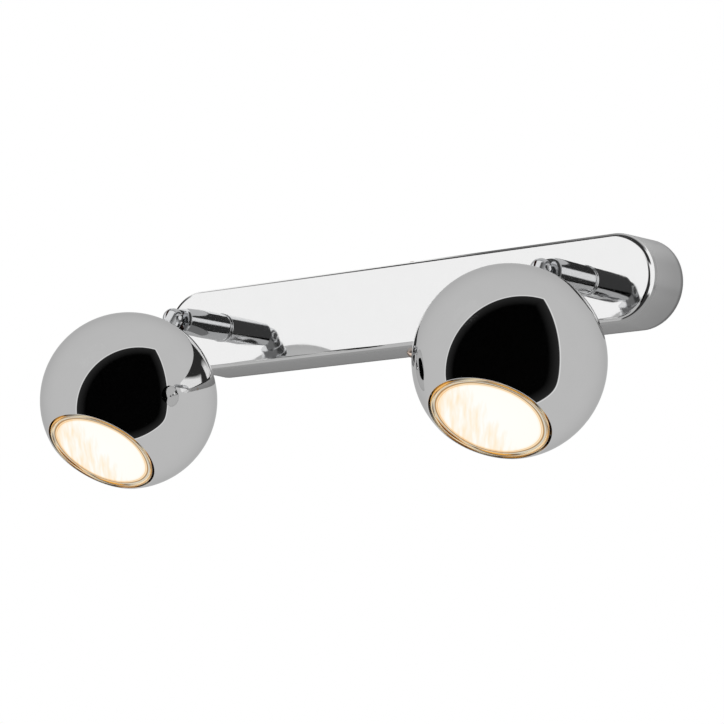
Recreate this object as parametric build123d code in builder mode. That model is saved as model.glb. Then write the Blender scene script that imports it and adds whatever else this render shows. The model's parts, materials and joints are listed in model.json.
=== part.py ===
from build123d import *
import math
import os

# A wall light with two ball heads on one chromed bar.
# Millimetres. The wall is the plane Y = 0, the light stands out along -Y, the bar runs along X, +Z is up.
# The origin is the middle of the bar's rim on the wall.

# Cover pan, pressed from sheet, open towards the wall
PAN_LENGTH = 268.0
PAN_HEIGHT = 40.0
PAN_DEPTH = 25.5
PAN_SHEET = 1.2
PAN_DRAFT = 1.7
PAN_EDGE_RADIUS = 1.6
PAN_INNER_RADIUS = 0.6
HEAD_SPACING = 200.0

# Wall strap under the pan, with two bent ears that take the side screws
STRAP_LENGTH = 150.0
STRAP_WIDTH = 26.0
STRAP_SHEET = 1.5
WALL_SLOT_SPACING = 116.0
WALL_SLOT_LENGTH = 12.0
WALL_SLOT_WIDTH = 4.8
CABLE_HOLE_DIAMETER = 15.0
EAR_WIDTH = 16.0
EAR_HEIGHT = 16.0
EAR_CLEARANCE = 0.2
EAR_BEND_RADIUS = 1.0
STRAP_CORNER_RADIUS = 4.0

# Dome-headed side screws that hold the pan on the strap
SIDE_SCREW_STAND = 10.0
SIDE_SCREW_DIAMETER = 4.0
SIDE_SCREW_LENGTH = 7.0
SIDE_SCREW_HEAD_DIAMETER = 7.0
SIDE_SCREW_HEAD_HEIGHT = 2.8

# Terminal block on the strap
BLOCK_PLACE = 36.0
BLOCK_WIDTH = 15.0
BLOCK_HEIGHT = 12.0
BLOCK_EDGE_RADIUS = 1.2
WEB_WIDTH = 9.0
WEB_HEIGHT = 4.0
POLE_COUNT = 3
POLE_PITCH = 11.0
POLE_WIDTH = 6.4
SLEEVE_DIAMETER = 4.6
SLEEVE_BORE = 3.0
SLEEVE_HEIGHT = 5.0
TERMINAL_SCREW_DIAMETER = 2.6
TERMINAL_SCREW_PITCH = 8.0
TERMINAL_SCREW_DROP = 1.5
BLOCK_SCREW_DIAMETER = 2.5
BLOCK_SCREW_HEAD_DIAMETER = 4.2
BLOCK_SCREW_HEAD_HEIGHT = 1.8

# Earth screw and its cup washer on the strap
EARTH_PLACE = -30.0
EARTH_SCREW_DIAMETER = 4.0
EARTH_HEAD_DIAMETER = 7.6
EARTH_HEAD_HEIGHT = 2.8
EARTH_HEAD_EDGE_RADIUS = 1.4
CUP_WASHER_DIAMETER = 10.0
CUP_WASHER_SHEET = 0.8
CUP_WASHER_HEIGHT = 2.0

# Swivel stem, turned from brass, with a threaded nipple through the pan's face
STEM_DIAMETER = 13.0
STEM_EDGE_RADIUS = 0.8
STEM_END_RADIUS = 3.2
FLAT_START = 12.0
PIVOT_HEIGHT = 36.0
SWIVEL_GAP = 0.08
NIPPLE_DIAMETER = 10.0
NIPPLE_BORE = 7.0
NIPPLE_ENGAGEMENT = 8.0
NIPPLE_TAIL = 1.0
STEM_WIRE_BORE = 5.0
STOP_WASHER_DIAMETER = 16.0
STOP_WASHER_SHEET = 1.0
STOP_TAB_WIDTH = 4.0
STOP_TAB_REACH = 13.0
STOP_STUD_DIAMETER = 3.0
STOP_STUD_RADIUS = 11.5
STOP_STUD_LENGTH = 3.0
SPRING_WASHER_DIAMETER = 15.6
SPRING_WASHER_SHEET = 1.2
SPRING_WASHER_SLIT = 1.0
NIPPLE_NUT_FLATS = 15.0
NIPPLE_NUT_HEIGHT = 3.6

# Knuckle: one half ball on the stem, one on the neck, clamped by a screw along the tilt axis
KNUCKLE_DIAMETER = 9.5
KNUCKLE_ROOM = 0.55
KNUCKLE_ROOT = 4.0
FRICTION_DISC_DIAMETER = 8.0
FRICTION_DISC_SHEET = 0.5
DISC_GAP = 0.05
PIVOT_SCREW_DIAMETER = 3.0
PIVOT_HEAD_DIAMETER = 4.4
PIVOT_HEAD_SEAT = 2.6
PIVOT_HEAD_HEIGHT = 1.9
PIVOT_SCREW_DEPTH = 3.6
RUNNING_FIT = 0.06
THREAD_FIT = 0.04

# Neck between the knuckle and the ball head
NECK_LENGTH = 10.55
NECK_DIAMETER = 11.0
COLLAR_DIAMETER = 12.4
COLLAR_HEIGHT = 1.6
SPIGOT_DIAMETER = 8.0
NECK_WIRE_BORE = 4.4
SPIGOT_TAIL = 0.6
NECK_WASHER_SHEET = 2.0
NECK_NUT_FLATS = 13.0
NECK_NUT_HEIGHT = 3.6

# Ball head, spun from sheet, with the lamp in its mouth
BALL_DIAMETER = 80.0
BALL_SHEET = 1.2
COLLAR_MARGIN = 0.4
WASHER_MARGIN = 0.5

# Reflector lamp with a two-pin twist base
LAMP_DIAMETER = 50.0
LAMP_GAP = 0.7
LAMP_RIM_HEIGHT = 5.0
LAMP_BOWL_DEPTH = 33.0
LAMP_BELLY_INSET = 4.0
LAMP_BELLY_DEPTH = 18.0
LAMP_GLASS = 2.0
LAMP_RIM_WIDTH = 1.4
LENS_THICKNESS = 2.4
LENS_FIT = 0.1
LAMP_NECK_DIAMETER = 21.0
CAPSULE_DIAMETER = 9.0
CAPSULE_LENGTH = 17.0
LAMP_BASE_DIAMETER = 24.0
LAMP_BASE_FLATS = 17.0
LAMP_BASE_HEIGHT = 14.0
PIN_SPACING = 10.0
PIN_STALK_DIAMETER = 3.0
PIN_HEAD_DIAMETER = 4.8
PIN_HEAD_HEIGHT = 3.0
PIN_LENGTH = 8.0

# Ceramic lamp holder and the bent bracket that carries it
HOLDER_RIM = 1.5
HOLDER_FLATS = 20.0
HOLDER_HEIGHT = 13.0
PIN_SOCKET_FIT = 0.4
PIN_SOCKET_ROOM = 0.6
PIN_TWIST = 40.0
KEYHOLE_PLATE = 4.2
BRACKET_SHEET = 1.0
BRACKET_WIDTH = 12.0
BRACKET_HEIGHT = 6.6
BRACKET_BEND_RADIUS = 1.0
NUT_ROOM = 0.6
HEAD_ROOM = 0.6
FLANGE_MARGIN = 0.8
HOLDER_SCREW_DIAMETER = 3.0
HOLDER_SCREW_LENGTH = 11.0
HOLDER_SCREW_HEAD_DIAMETER = 5.4
HOLDER_SCREW_HEAD_HEIGHT = 1.8
HOLE_FIT = 0.2

# Rest pose: turn of each stem about its own axis, tilt of each head below straight out
REST_TURN = {"left": -3.0, "right": 1.0}
REST_TILT = {"left": 55.0, "right": 57.0}
SIDES = {"left": -1, "right": 1}

# Sizes that follow from those above
draft_slope = math.tan(math.radians(PAN_DRAFT))
front_inner_height = PAN_DEPTH - PAN_SHEET
mouth_radius = LAMP_DIAMETER / 2 + LAMP_GAP
pole_flat_radius = COLLAR_DIAMETER / 2 + COLLAR_MARGIN
ball_height = NECK_LENGTH + math.sqrt((BALL_DIAMETER / 2) ** 2 - pole_flat_radius**2)
inner_ball_radius = BALL_DIAMETER / 2 - BALL_SHEET
inner_pole_height = NECK_LENGTH + BALL_SHEET
inner_pole_radius = math.sqrt(inner_ball_radius**2 - (ball_height - inner_pole_height) ** 2)
mouth_height = ball_height + math.sqrt((BALL_DIAMETER / 2) ** 2 - mouth_radius**2)
inner_mouth_height = ball_height + math.sqrt(inner_ball_radius**2 - mouth_radius**2)
block_length = (POLE_COUNT - 1) * POLE_PITCH + POLE_WIDTH
block_screw_place = BLOCK_PLACE + POLE_PITCH / 2
shoulder_reach = KNUCKLE_DIAMETER / 2 + KNUCKLE_ROOM
shoulder_height = PIVOT_HEIGHT - shoulder_reach
half_gap = FRICTION_DISC_SHEET / 2 + DISC_GAP
bracket_foot = inner_pole_height + NECK_WASHER_SHEET
bracket_foot_top = bracket_foot + BRACKET_SHEET
holder_back = bracket_foot + BRACKET_HEIGHT
lamp_seat = holder_back + HOLDER_HEIGHT
lamp_base_top = lamp_seat + LAMP_BASE_HEIGHT
lamp_front = lamp_base_top + LAMP_BOWL_DEPTH
lens_radius = LAMP_DIAMETER / 2 - LAMP_RIM_WIDTH - LENS_FIT
bracket_foot_width = NECK_NUT_FLATS / math.cos(math.radians(30)) + 2 * NUT_ROOM
holder_screw_spacing = bracket_foot_width + 2 * BRACKET_SHEET + HOLDER_SCREW_HEAD_DIAMETER + 2 * HEAD_ROOM
bracket_span = holder_screw_spacing + HOLDER_SCREW_HEAD_DIAMETER + 2 * FLANGE_MARGIN
holder_diameter = holder_screw_spacing + HOLDER_SCREW_DIAMETER + 2 * HOLDER_RIM
stop_washer_face = PAN_SHEET + SWIVEL_GAP
spring_washer_face = stop_washer_face + STOP_WASHER_SHEET
nipple_nut_face = spring_washer_face + SPRING_WASHER_SHEET
nipple_end = nipple_nut_face + NIPPLE_NUT_HEIGHT + NIPPLE_TAIL


def save(piece, name):
    """Name a finished piece and write it to its own file."""
    piece.part.label = name
    export_step(piece.part, f"parts/{name}.step")


def profile_plane(base):
    """Plane through the axis of base for a turned profile: x is the radius, y runs along the axis."""
    return Plane(origin=base.origin, x_dir=base.x_dir, z_dir=base.x_dir.cross(base.z_dir))


def turning_axis(base):
    """Axis that a turned profile on profile_plane(base) goes round."""
    return Axis(base.origin, base.z_dir)


def wall_half_height(stand):
    """Half height of the pan's outer wall at a distance from the building wall."""
    return PAN_HEIGHT / 2 - stand * draft_slope


def side_screw_plane(side):
    """Plane on the pan's upper (1) or lower (-1) wall, square to the wall, where a side screw sits."""
    lean = math.radians(PAN_DRAFT)
    return Plane(
        origin=(0, -SIDE_SCREW_STAND, side * wall_half_height(SIDE_SCREW_STAND)),
        x_dir=(1, 0, 0),
        z_dir=(0, -math.sin(lean), side * math.cos(lean)),
    )


def stem_plane(hand):
    """Plane on the pan's face at a stem: z points out from the wall, x is the head's tilt axis."""
    place = (SIDES[hand] * HEAD_SPACING / 2, -PAN_DEPTH, 0)
    turn = math.radians(REST_TURN[hand])
    return Plane(origin=place, x_dir=(math.cos(turn), 0, math.sin(turn)), z_dir=(0, -1, 0))


def head_plane(hand):
    """Plane at a knuckle: z points along the lamp's beam, x is the tilt axis."""
    base = stem_plane(hand).offset(PIVOT_HEIGHT)
    tilt = math.radians(REST_TILT[hand])
    beam = base.z_dir * math.cos(tilt) - base.y_dir * math.sin(tilt)
    return Plane(origin=base.origin, x_dir=base.x_dir, z_dir=beam)


def pivot_plane(hand):
    """Plane at a knuckle with z along the tilt axis."""
    base = stem_plane(hand).offset(PIVOT_HEIGHT)
    return Plane(origin=base.origin, x_dir=base.z_dir, z_dir=base.x_dir)


os.makedirs("parts", exist_ok=True)

# Cover pan
with BuildPart() as pan_hollow:
    with BuildSketch(Plane.XZ):
        SlotOverall(PAN_LENGTH - 2 * PAN_SHEET, PAN_HEIGHT - 2 * PAN_SHEET)
    extrude(amount=front_inner_height, taper=PAN_DRAFT)
    fillet(pan_hollow.faces().sort_by(Axis.Y)[0].edges(), radius=PAN_INNER_RADIUS)

with BuildPart() as cover_pan:
    with BuildSketch(Plane.XZ):
        SlotOverall(PAN_LENGTH, PAN_HEIGHT)
    extrude(amount=PAN_DEPTH, taper=PAN_DRAFT)
    fillet(cover_pan.faces().sort_by(Axis.Y)[0].edges(), radius=PAN_EDGE_RADIUS)
    add(pan_hollow.part, mode=Mode.SUBTRACT)
    with BuildSketch(Plane.XZ.offset(PAN_DEPTH)):
        with GridLocations(HEAD_SPACING, 0, 2, 1):
            Circle(NIPPLE_DIAMETER / 2 + RUNNING_FIT)
    extrude(amount=-nipple_end, mode=Mode.SUBTRACT)
    for side in (1, -1):
        with BuildSketch(side_screw_plane(side)):
            Circle(SIDE_SCREW_DIAMETER / 2 + HOLE_FIT)
        extrude(amount=-SIDE_SCREW_LENGTH, mode=Mode.SUBTRACT)
save(cover_pan, "cover_pan")

# Studs inside the pan's face that stop the stems from turning round and round
with BuildPart() as stop_studs:
    with BuildSketch(Plane.XZ.offset(front_inner_height)):
        with GridLocations(HEAD_SPACING, 0, 2, 1):
            with Locations((0, -STOP_STUD_RADIUS)):
                Circle(STOP_STUD_DIAMETER / 2)
    extrude(amount=-STOP_STUD_LENGTH)
save(stop_studs, "stop_studs")

# Wall strap
ear_face = wall_half_height(EAR_HEIGHT) - PAN_SHEET - EAR_CLEARANCE
with BuildPart() as wall_strap:
    with BuildSketch(Plane.XZ):
        RectangleRounded(STRAP_LENGTH, STRAP_WIDTH, STRAP_CORNER_RADIUS)
        Rectangle(EAR_WIDTH, 2 * ear_face)
        Circle(CABLE_HOLE_DIAMETER / 2, mode=Mode.SUBTRACT)
        with GridLocations(WALL_SLOT_SPACING, 0, 2, 1):
            SlotOverall(WALL_SLOT_LENGTH, WALL_SLOT_WIDTH, mode=Mode.SUBTRACT)
        with Locations((EARTH_PLACE, 0)):
            Circle(EARTH_SCREW_DIAMETER / 2 + THREAD_FIT, mode=Mode.SUBTRACT)
        with Locations((block_screw_place, 0)):
            Circle(BLOCK_SCREW_DIAMETER / 2 + THREAD_FIT, mode=Mode.SUBTRACT)
    extrude(amount=STRAP_SHEET)
    for side in (1, -1):
        with BuildSketch(Plane.XZ):
            with Locations((0, side * (ear_face - STRAP_SHEET / 2))):
                Rectangle(EAR_WIDTH, STRAP_SHEET)
        extrude(amount=EAR_HEIGHT)
        bend = wall_strap.edges().filter_by(Axis.X).group_by(Axis.Y)[-1].sort_by(Axis.Z)
        fillet(bend[-1] if side == 1 else bend[0], radius=EAR_BEND_RADIUS)
        with BuildSketch(side_screw_plane(side)):
            Circle(SIDE_SCREW_DIAMETER / 2 + THREAD_FIT)
        extrude(amount=-SIDE_SCREW_LENGTH, mode=Mode.SUBTRACT)
save(wall_strap, "wall_strap")

# Side screws
side_screw_rim = SIDE_SCREW_HEAD_DIAMETER / 2
side_screw_dome_radius = (side_screw_rim**2 + SIDE_SCREW_HEAD_HEIGHT**2) / (2 * SIDE_SCREW_HEAD_HEIGHT)
with BuildPart() as side_screws:
    for side in (1, -1):
        seat = side_screw_plane(side)
        with BuildSketch(profile_plane(seat)):
            with BuildLine():
                RadiusArc(
                    (side_screw_rim, 0),
                    (0, SIDE_SCREW_HEAD_HEIGHT),
                    -side_screw_dome_radius,
                )
                Polyline(
                    (0, SIDE_SCREW_HEAD_HEIGHT),
                    (0, -SIDE_SCREW_LENGTH),
                    (SIDE_SCREW_DIAMETER / 2, -SIDE_SCREW_LENGTH),
                    (SIDE_SCREW_DIAMETER / 2, 0),
                    (side_screw_rim, 0),
                )
            make_face()
        revolve(axis=turning_axis(seat))
save(side_screws, "side_screws")

# Terminal block: three poles on a common web
with BuildPart() as terminal_block:
    with BuildSketch(Plane.XZ.offset(STRAP_SHEET)):
        with Locations((BLOCK_PLACE, 0)):
            Rectangle(block_length, WEB_WIDTH)
        with Locations((block_screw_place, 0)):
            Circle(BLOCK_SCREW_DIAMETER / 2 + HOLE_FIT, mode=Mode.SUBTRACT)
    extrude(amount=WEB_HEIGHT)
    with BuildSketch(Plane.XZ.offset(STRAP_SHEET)):
        with Locations((BLOCK_PLACE, 0)):
            with GridLocations(POLE_PITCH, 0, POLE_COUNT, 1):
                Rectangle(POLE_WIDTH, BLOCK_WIDTH)
    extrude(amount=BLOCK_HEIGHT)
    fillet(terminal_block.edges().group_by(Axis.Y)[0], radius=BLOCK_EDGE_RADIUS)
    with BuildSketch(Plane.XY):
        with Locations((BLOCK_PLACE, -STRAP_SHEET - SLEEVE_HEIGHT)):
            with GridLocations(POLE_PITCH, 0, POLE_COUNT, 1):
                Circle(SLEEVE_DIAMETER / 2 + THREAD_FIT)
    extrude(amount=BLOCK_WIDTH, both=True, mode=Mode.SUBTRACT)
    with BuildSketch(Plane.XZ.offset(STRAP_SHEET + SLEEVE_HEIGHT)):
        with Locations((BLOCK_PLACE, 0)):
            with GridLocations(POLE_PITCH, TERMINAL_SCREW_PITCH, POLE_COUNT, 2):
                Circle(TERMINAL_SCREW_DIAMETER / 2 + THREAD_FIT)
    extrude(amount=BLOCK_HEIGHT, mode=Mode.SUBTRACT)
save(terminal_block, "terminal_block")

# Brass sleeves in the terminal block
with BuildPart() as terminal_sleeves:
    with BuildSketch(Plane.XY.offset(-BLOCK_WIDTH / 2 + BLOCK_EDGE_RADIUS)):
        with Locations((BLOCK_PLACE, -STRAP_SHEET - SLEEVE_HEIGHT)):
            with GridLocations(POLE_PITCH, 0, POLE_COUNT, 1):
                Circle(SLEEVE_DIAMETER / 2)
                Circle(SLEEVE_BORE / 2, mode=Mode.SUBTRACT)
    extrude(amount=BLOCK_WIDTH - 2 * BLOCK_EDGE_RADIUS)
    with BuildSketch(Plane.XZ.offset(STRAP_SHEET + SLEEVE_HEIGHT)):
        with Locations((BLOCK_PLACE, 0)):
            with GridLocations(POLE_PITCH, TERMINAL_SCREW_PITCH, POLE_COUNT, 2):
                Circle(TERMINAL_SCREW_DIAMETER / 2 + THREAD_FIT)
    extrude(amount=SLEEVE_DIAMETER, mode=Mode.SUBTRACT)
save(terminal_sleeves, "terminal_sleeves")

# Clamping screws in the sleeves, sunk below the block's front
with BuildPart() as terminal_screws:
    with BuildSketch(Plane.XZ.offset(STRAP_SHEET + SLEEVE_HEIGHT)):
        with Locations((BLOCK_PLACE, 0)):
            with GridLocations(POLE_PITCH, TERMINAL_SCREW_PITCH, POLE_COUNT, 2):
                Circle(TERMINAL_SCREW_DIAMETER / 2)
    extrude(amount=BLOCK_HEIGHT - SLEEVE_HEIGHT - TERMINAL_SCREW_DROP)
save(terminal_screws, "terminal_screws")

# Screw that holds the terminal block on the strap
with BuildPart() as block_screw:
    with BuildSketch(Plane.XZ):
        with Locations((block_screw_place, 0)):
            Circle(BLOCK_SCREW_DIAMETER / 2)
    extrude(amount=STRAP_SHEET + WEB_HEIGHT)
    with BuildSketch(Plane.XZ.offset(STRAP_SHEET + WEB_HEIGHT)):
        with Locations((block_screw_place, 0)):
            Circle(BLOCK_SCREW_HEAD_DIAMETER / 2)
    extrude(amount=BLOCK_SCREW_HEAD_HEIGHT)
save(block_screw, "block_screw")

# Cup washer that keeps the earth wire under its screw
with BuildPart() as earth_cup_washer:
    with BuildSketch(Plane.XZ.offset(STRAP_SHEET)):
        with Locations((EARTH_PLACE, 0)):
            Circle(CUP_WASHER_DIAMETER / 2)
    extrude(amount=CUP_WASHER_HEIGHT)
    with BuildSketch(Plane.XZ.offset(STRAP_SHEET)):
        with Locations((EARTH_PLACE, 0)):
            Circle(CUP_WASHER_DIAMETER / 2 - CUP_WASHER_SHEET)
    extrude(amount=CUP_WASHER_HEIGHT - CUP_WASHER_SHEET, mode=Mode.SUBTRACT)
    with BuildSketch(Plane.XZ.offset(STRAP_SHEET)):
        with Locations((EARTH_PLACE, 0)):
            Circle(EARTH_SCREW_DIAMETER / 2 + HOLE_FIT)
    extrude(amount=CUP_WASHER_HEIGHT, mode=Mode.SUBTRACT)
save(earth_cup_washer, "earth_cup_washer")

# Earth screw
with BuildPart() as earth_screw:
    with BuildSketch(Plane.XZ):
        with Locations((EARTH_PLACE, 0)):
            Circle(EARTH_SCREW_DIAMETER / 2)
    extrude(amount=STRAP_SHEET + CUP_WASHER_HEIGHT)
    with BuildSketch(Plane.XZ.offset(STRAP_SHEET + CUP_WASHER_HEIGHT)):
        with Locations((EARTH_PLACE, 0)):
            Circle(EARTH_HEAD_DIAMETER / 2)
    extrude(amount=EARTH_HEAD_HEIGHT)
    fillet(earth_screw.edges().group_by(Axis.Y)[0], radius=EARTH_HEAD_EDGE_RADIUS)
save(earth_screw, "earth_screw")

# Way that each lamp pin takes as the lamp is twisted into its holder
pin_path = CenterArc((0, 0), PIN_SPACING / 2, 0, PIN_TWIST)

# One swivel stem, one knuckle and one ball head on each side
for hand in SIDES:
    base = stem_plane(hand)
    pivot = pivot_plane(hand)
    head = head_plane(hand)

    # Half of the knuckle that grows from the stem, on the far side of the split
    with BuildPart() as stem_tongue:
        with BuildSketch(profile_plane(base)):
            with BuildLine():
                Polyline(
                    (0, PIVOT_HEIGHT + KNUCKLE_DIAMETER / 2),
                    (0, shoulder_height - KNUCKLE_ROOT),
                    (KNUCKLE_DIAMETER / 2, shoulder_height - KNUCKLE_ROOT),
                    (KNUCKLE_DIAMETER / 2, PIVOT_HEIGHT),
                )
                RadiusArc(
                    (KNUCKLE_DIAMETER / 2, PIVOT_HEIGHT),
                    (0, PIVOT_HEIGHT + KNUCKLE_DIAMETER / 2),
                    -KNUCKLE_DIAMETER / 2,
                )
            make_face()
        revolve(axis=turning_axis(base))
        split(bisect_by=pivot.offset(-half_gap), keep=Keep.BOTTOM)

    # Stem: a turned rod with a well rounded end and a flat planed on its top and its underside towards the knuckle
    with BuildPart() as stem:
        with BuildSketch(base.offset(SWIVEL_GAP)):
            Circle(STEM_DIAMETER / 2)
        extrude(amount=shoulder_height - SWIVEL_GAP)
        rims = stem.edges().filter_by(GeomType.CIRCLE).sort_by(turning_axis(base))
        fillet(rims.first, radius=STEM_EDGE_RADIUS)
        rims = stem.edges().filter_by(GeomType.CIRCLE).sort_by(turning_axis(base))
        fillet(rims.last, radius=STEM_END_RADIUS)
        for side in (1, -1):
            with BuildSketch(Plane(origin=base.origin, x_dir=base.y_dir, z_dir=base.x_dir)):
                with BuildLine():
                    Polyline(
                        (side * STEM_DIAMETER / 2, FLAT_START),
                        (side * KNUCKLE_DIAMETER / 2, PIVOT_HEIGHT),
                        (side * STEM_DIAMETER, PIVOT_HEIGHT),
                        (side * STEM_DIAMETER, FLAT_START),
                        close=True,
                    )
                make_face()
            extrude(amount=STEM_DIAMETER, both=True, mode=Mode.SUBTRACT)
        add(stem_tongue.part)
        with BuildSketch(base):
            Circle(NIPPLE_DIAMETER / 2 + THREAD_FIT)
        extrude(amount=NIPPLE_ENGAGEMENT, mode=Mode.SUBTRACT)
        with BuildSketch(base):
            Circle(STEM_WIRE_BORE / 2)
        extrude(amount=shoulder_height, mode=Mode.SUBTRACT)
        with BuildSketch(pivot):
            Circle(PIVOT_SCREW_DIAMETER / 2 + THREAD_FIT)
        extrude(amount=-PIVOT_SCREW_DEPTH, mode=Mode.SUBTRACT)
    save(stem, f"{hand}_stem")

    # Threaded tube that carries the stem through the pan and lets the wires in
    with BuildPart() as nipple:
        with BuildSketch(base.offset(-nipple_end)):
            Circle(NIPPLE_DIAMETER / 2)
            Circle(NIPPLE_BORE / 2, mode=Mode.SUBTRACT)
        extrude(amount=nipple_end + NIPPLE_ENGAGEMENT)
    save(nipple, f"{hand}_nipple")

    # Stop washer behind the pan's face: its tab meets the stud at either end of the swivel
    with BuildPart() as stop_washer:
        with BuildSketch(base.offset(-stop_washer_face)):
            Circle(STOP_WASHER_DIAMETER / 2)
            with Locations((0, STOP_TAB_REACH / 2)):
                Rectangle(STOP_TAB_WIDTH, STOP_TAB_REACH)
            Circle(NIPPLE_DIAMETER / 2 + THREAD_FIT, mode=Mode.SUBTRACT)
        extrude(amount=-STOP_WASHER_SHEET)
    save(stop_washer, f"{hand}_stop_washer")

    # Slit spring washer that keeps the swivel stiff
    with BuildPart() as spring_washer:
        with BuildSketch(base.offset(-spring_washer_face)):
            Circle(SPRING_WASHER_DIAMETER / 2)
            Circle(NIPPLE_DIAMETER / 2 + HOLE_FIT, mode=Mode.SUBTRACT)
            with Locations((SPRING_WASHER_DIAMETER / 2, 0)):
                Rectangle(SPRING_WASHER_DIAMETER, SPRING_WASHER_SLIT, mode=Mode.SUBTRACT)
        extrude(amount=-SPRING_WASHER_SHEET)
    save(spring_washer, f"{hand}_spring_washer")

    # Nut on the nipple
    with BuildPart() as nipple_nut:
        with BuildSketch(base.offset(-nipple_nut_face)):
            RegularPolygon(NIPPLE_NUT_FLATS / 2, side_count=6, major_radius=False)
            Circle(NIPPLE_DIAMETER / 2 + THREAD_FIT, mode=Mode.SUBTRACT)
        extrude(amount=-NIPPLE_NUT_HEIGHT)
    save(nipple_nut, f"{hand}_nipple_nut")

    # Fibre disc between the two halves of the knuckle
    with BuildPart() as friction_disc:
        with BuildSketch(pivot.offset(-FRICTION_DISC_SHEET / 2)):
            Circle(FRICTION_DISC_DIAMETER / 2)
            Circle(PIVOT_SCREW_DIAMETER / 2 + THREAD_FIT, mode=Mode.SUBTRACT)
        extrude(amount=FRICTION_DISC_SHEET)
    save(friction_disc, f"{hand}_friction_disc")

    # Pivot screw, fixed in the stem's half; the neck's half turns on it
    with BuildPart() as pivot_screw:
        with BuildSketch(pivot.offset(PIVOT_HEAD_SEAT + DISC_GAP)):
            Circle(PIVOT_HEAD_DIAMETER / 2)
        extrude(amount=PIVOT_HEAD_HEIGHT - DISC_GAP)
        with BuildSketch(pivot.offset(PIVOT_HEAD_SEAT + DISC_GAP)):
            Circle(PIVOT_SCREW_DIAMETER / 2)
        extrude(amount=-PIVOT_HEAD_SEAT - PIVOT_SCREW_DEPTH)
    save(pivot_screw, f"{hand}_pivot_screw")

    # Half of the knuckle that grows from the neck, on the near side of the split
    with BuildPart() as neck_tongue:
        with BuildSketch(profile_plane(head)):
            with BuildLine():
                Polyline(
                    (0, -KNUCKLE_DIAMETER / 2),
                    (0, NECK_LENGTH),
                    (KNUCKLE_DIAMETER / 2, NECK_LENGTH),
                    (KNUCKLE_DIAMETER / 2, 0),
                )
                RadiusArc((KNUCKLE_DIAMETER / 2, 0), (0, -KNUCKLE_DIAMETER / 2), KNUCKLE_DIAMETER / 2)
            make_face()
        revolve(axis=turning_axis(head))
        split(bisect_by=pivot.offset(half_gap), keep=Keep.TOP)

    # Neck: the knuckle's other half, a short barrel, a collar on the ball and a threaded spigot into it
    spigot_end = bracket_foot_top + NECK_NUT_HEIGHT + SPIGOT_TAIL
    with BuildPart() as neck:
        with BuildSketch(profile_plane(head)):
            with BuildLine():
                Polyline(
                    (0, shoulder_reach),
                    (NECK_DIAMETER / 2, shoulder_reach),
                    (NECK_DIAMETER / 2, NECK_LENGTH - COLLAR_HEIGHT),
                    (COLLAR_DIAMETER / 2, NECK_LENGTH - COLLAR_HEIGHT),
                    (COLLAR_DIAMETER / 2, NECK_LENGTH),
                    (SPIGOT_DIAMETER / 2, NECK_LENGTH),
                    (SPIGOT_DIAMETER / 2, spigot_end),
                    (0, spigot_end),
                    close=True,
                )
            make_face()
        revolve(axis=turning_axis(head))
        add(neck_tongue.part)
        with BuildSketch(head.offset(shoulder_reach)):
            Circle(NECK_WIRE_BORE / 2)
        extrude(amount=spigot_end, mode=Mode.SUBTRACT)
        with BuildSketch(pivot):
            Circle(PIVOT_SCREW_DIAMETER / 2 + RUNNING_FIT)
        extrude(amount=KNUCKLE_DIAMETER, mode=Mode.SUBTRACT)
        with BuildSketch(pivot.offset(PIVOT_HEAD_SEAT)):
            Circle(PIVOT_HEAD_DIAMETER / 2 + RUNNING_FIT)
        extrude(amount=KNUCKLE_DIAMETER, mode=Mode.SUBTRACT)
    save(neck, f"{hand}_neck")

    # Ball: a spun shell with a flat at the back pole for the collar and a mouth for the lamp
    with BuildPart() as ball_shell:
        with BuildSketch(profile_plane(head)):
            with BuildLine():
                ThreePointArc(
                    (pole_flat_radius, NECK_LENGTH),
                    (BALL_DIAMETER / 2, ball_height),
                    (mouth_radius, mouth_height),
                )
                Line((mouth_radius, mouth_height), (mouth_radius, inner_mouth_height))
                ThreePointArc(
                    (mouth_radius, inner_mouth_height),
                    (inner_ball_radius, ball_height),
                    (inner_pole_radius, inner_pole_height),
                )
                Polyline(
                    (inner_pole_radius, inner_pole_height),
                    (SPIGOT_DIAMETER / 2 + HOLE_FIT, inner_pole_height),
                    (SPIGOT_DIAMETER / 2 + HOLE_FIT, NECK_LENGTH),
                    (pole_flat_radius, NECK_LENGTH),
                )
            make_face()
        revolve(axis=turning_axis(head))
    save(ball_shell, f"{hand}_ball_shell")

    # Thick washer on the shell's inner flat
    with BuildPart() as neck_washer:
        with BuildSketch(head.offset(inner_pole_height)):
            Circle(inner_pole_radius - WASHER_MARGIN)
            Circle(SPIGOT_DIAMETER / 2 + HOLE_FIT, mode=Mode.SUBTRACT)
        extrude(amount=NECK_WASHER_SHEET)
    save(neck_washer, f"{hand}_neck_washer")

    # Nut inside the ball, on the neck's spigot
    with BuildPart() as neck_nut:
        with BuildSketch(head.offset(bracket_foot_top)):
            RegularPolygon(NECK_NUT_FLATS / 2, side_count=6, major_radius=False)
            Circle(SPIGOT_DIAMETER / 2 + THREAD_FIT, mode=Mode.SUBTRACT)
        extrude(amount=NECK_NUT_HEIGHT)
    save(neck_nut, f"{hand}_neck_nut")

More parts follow.
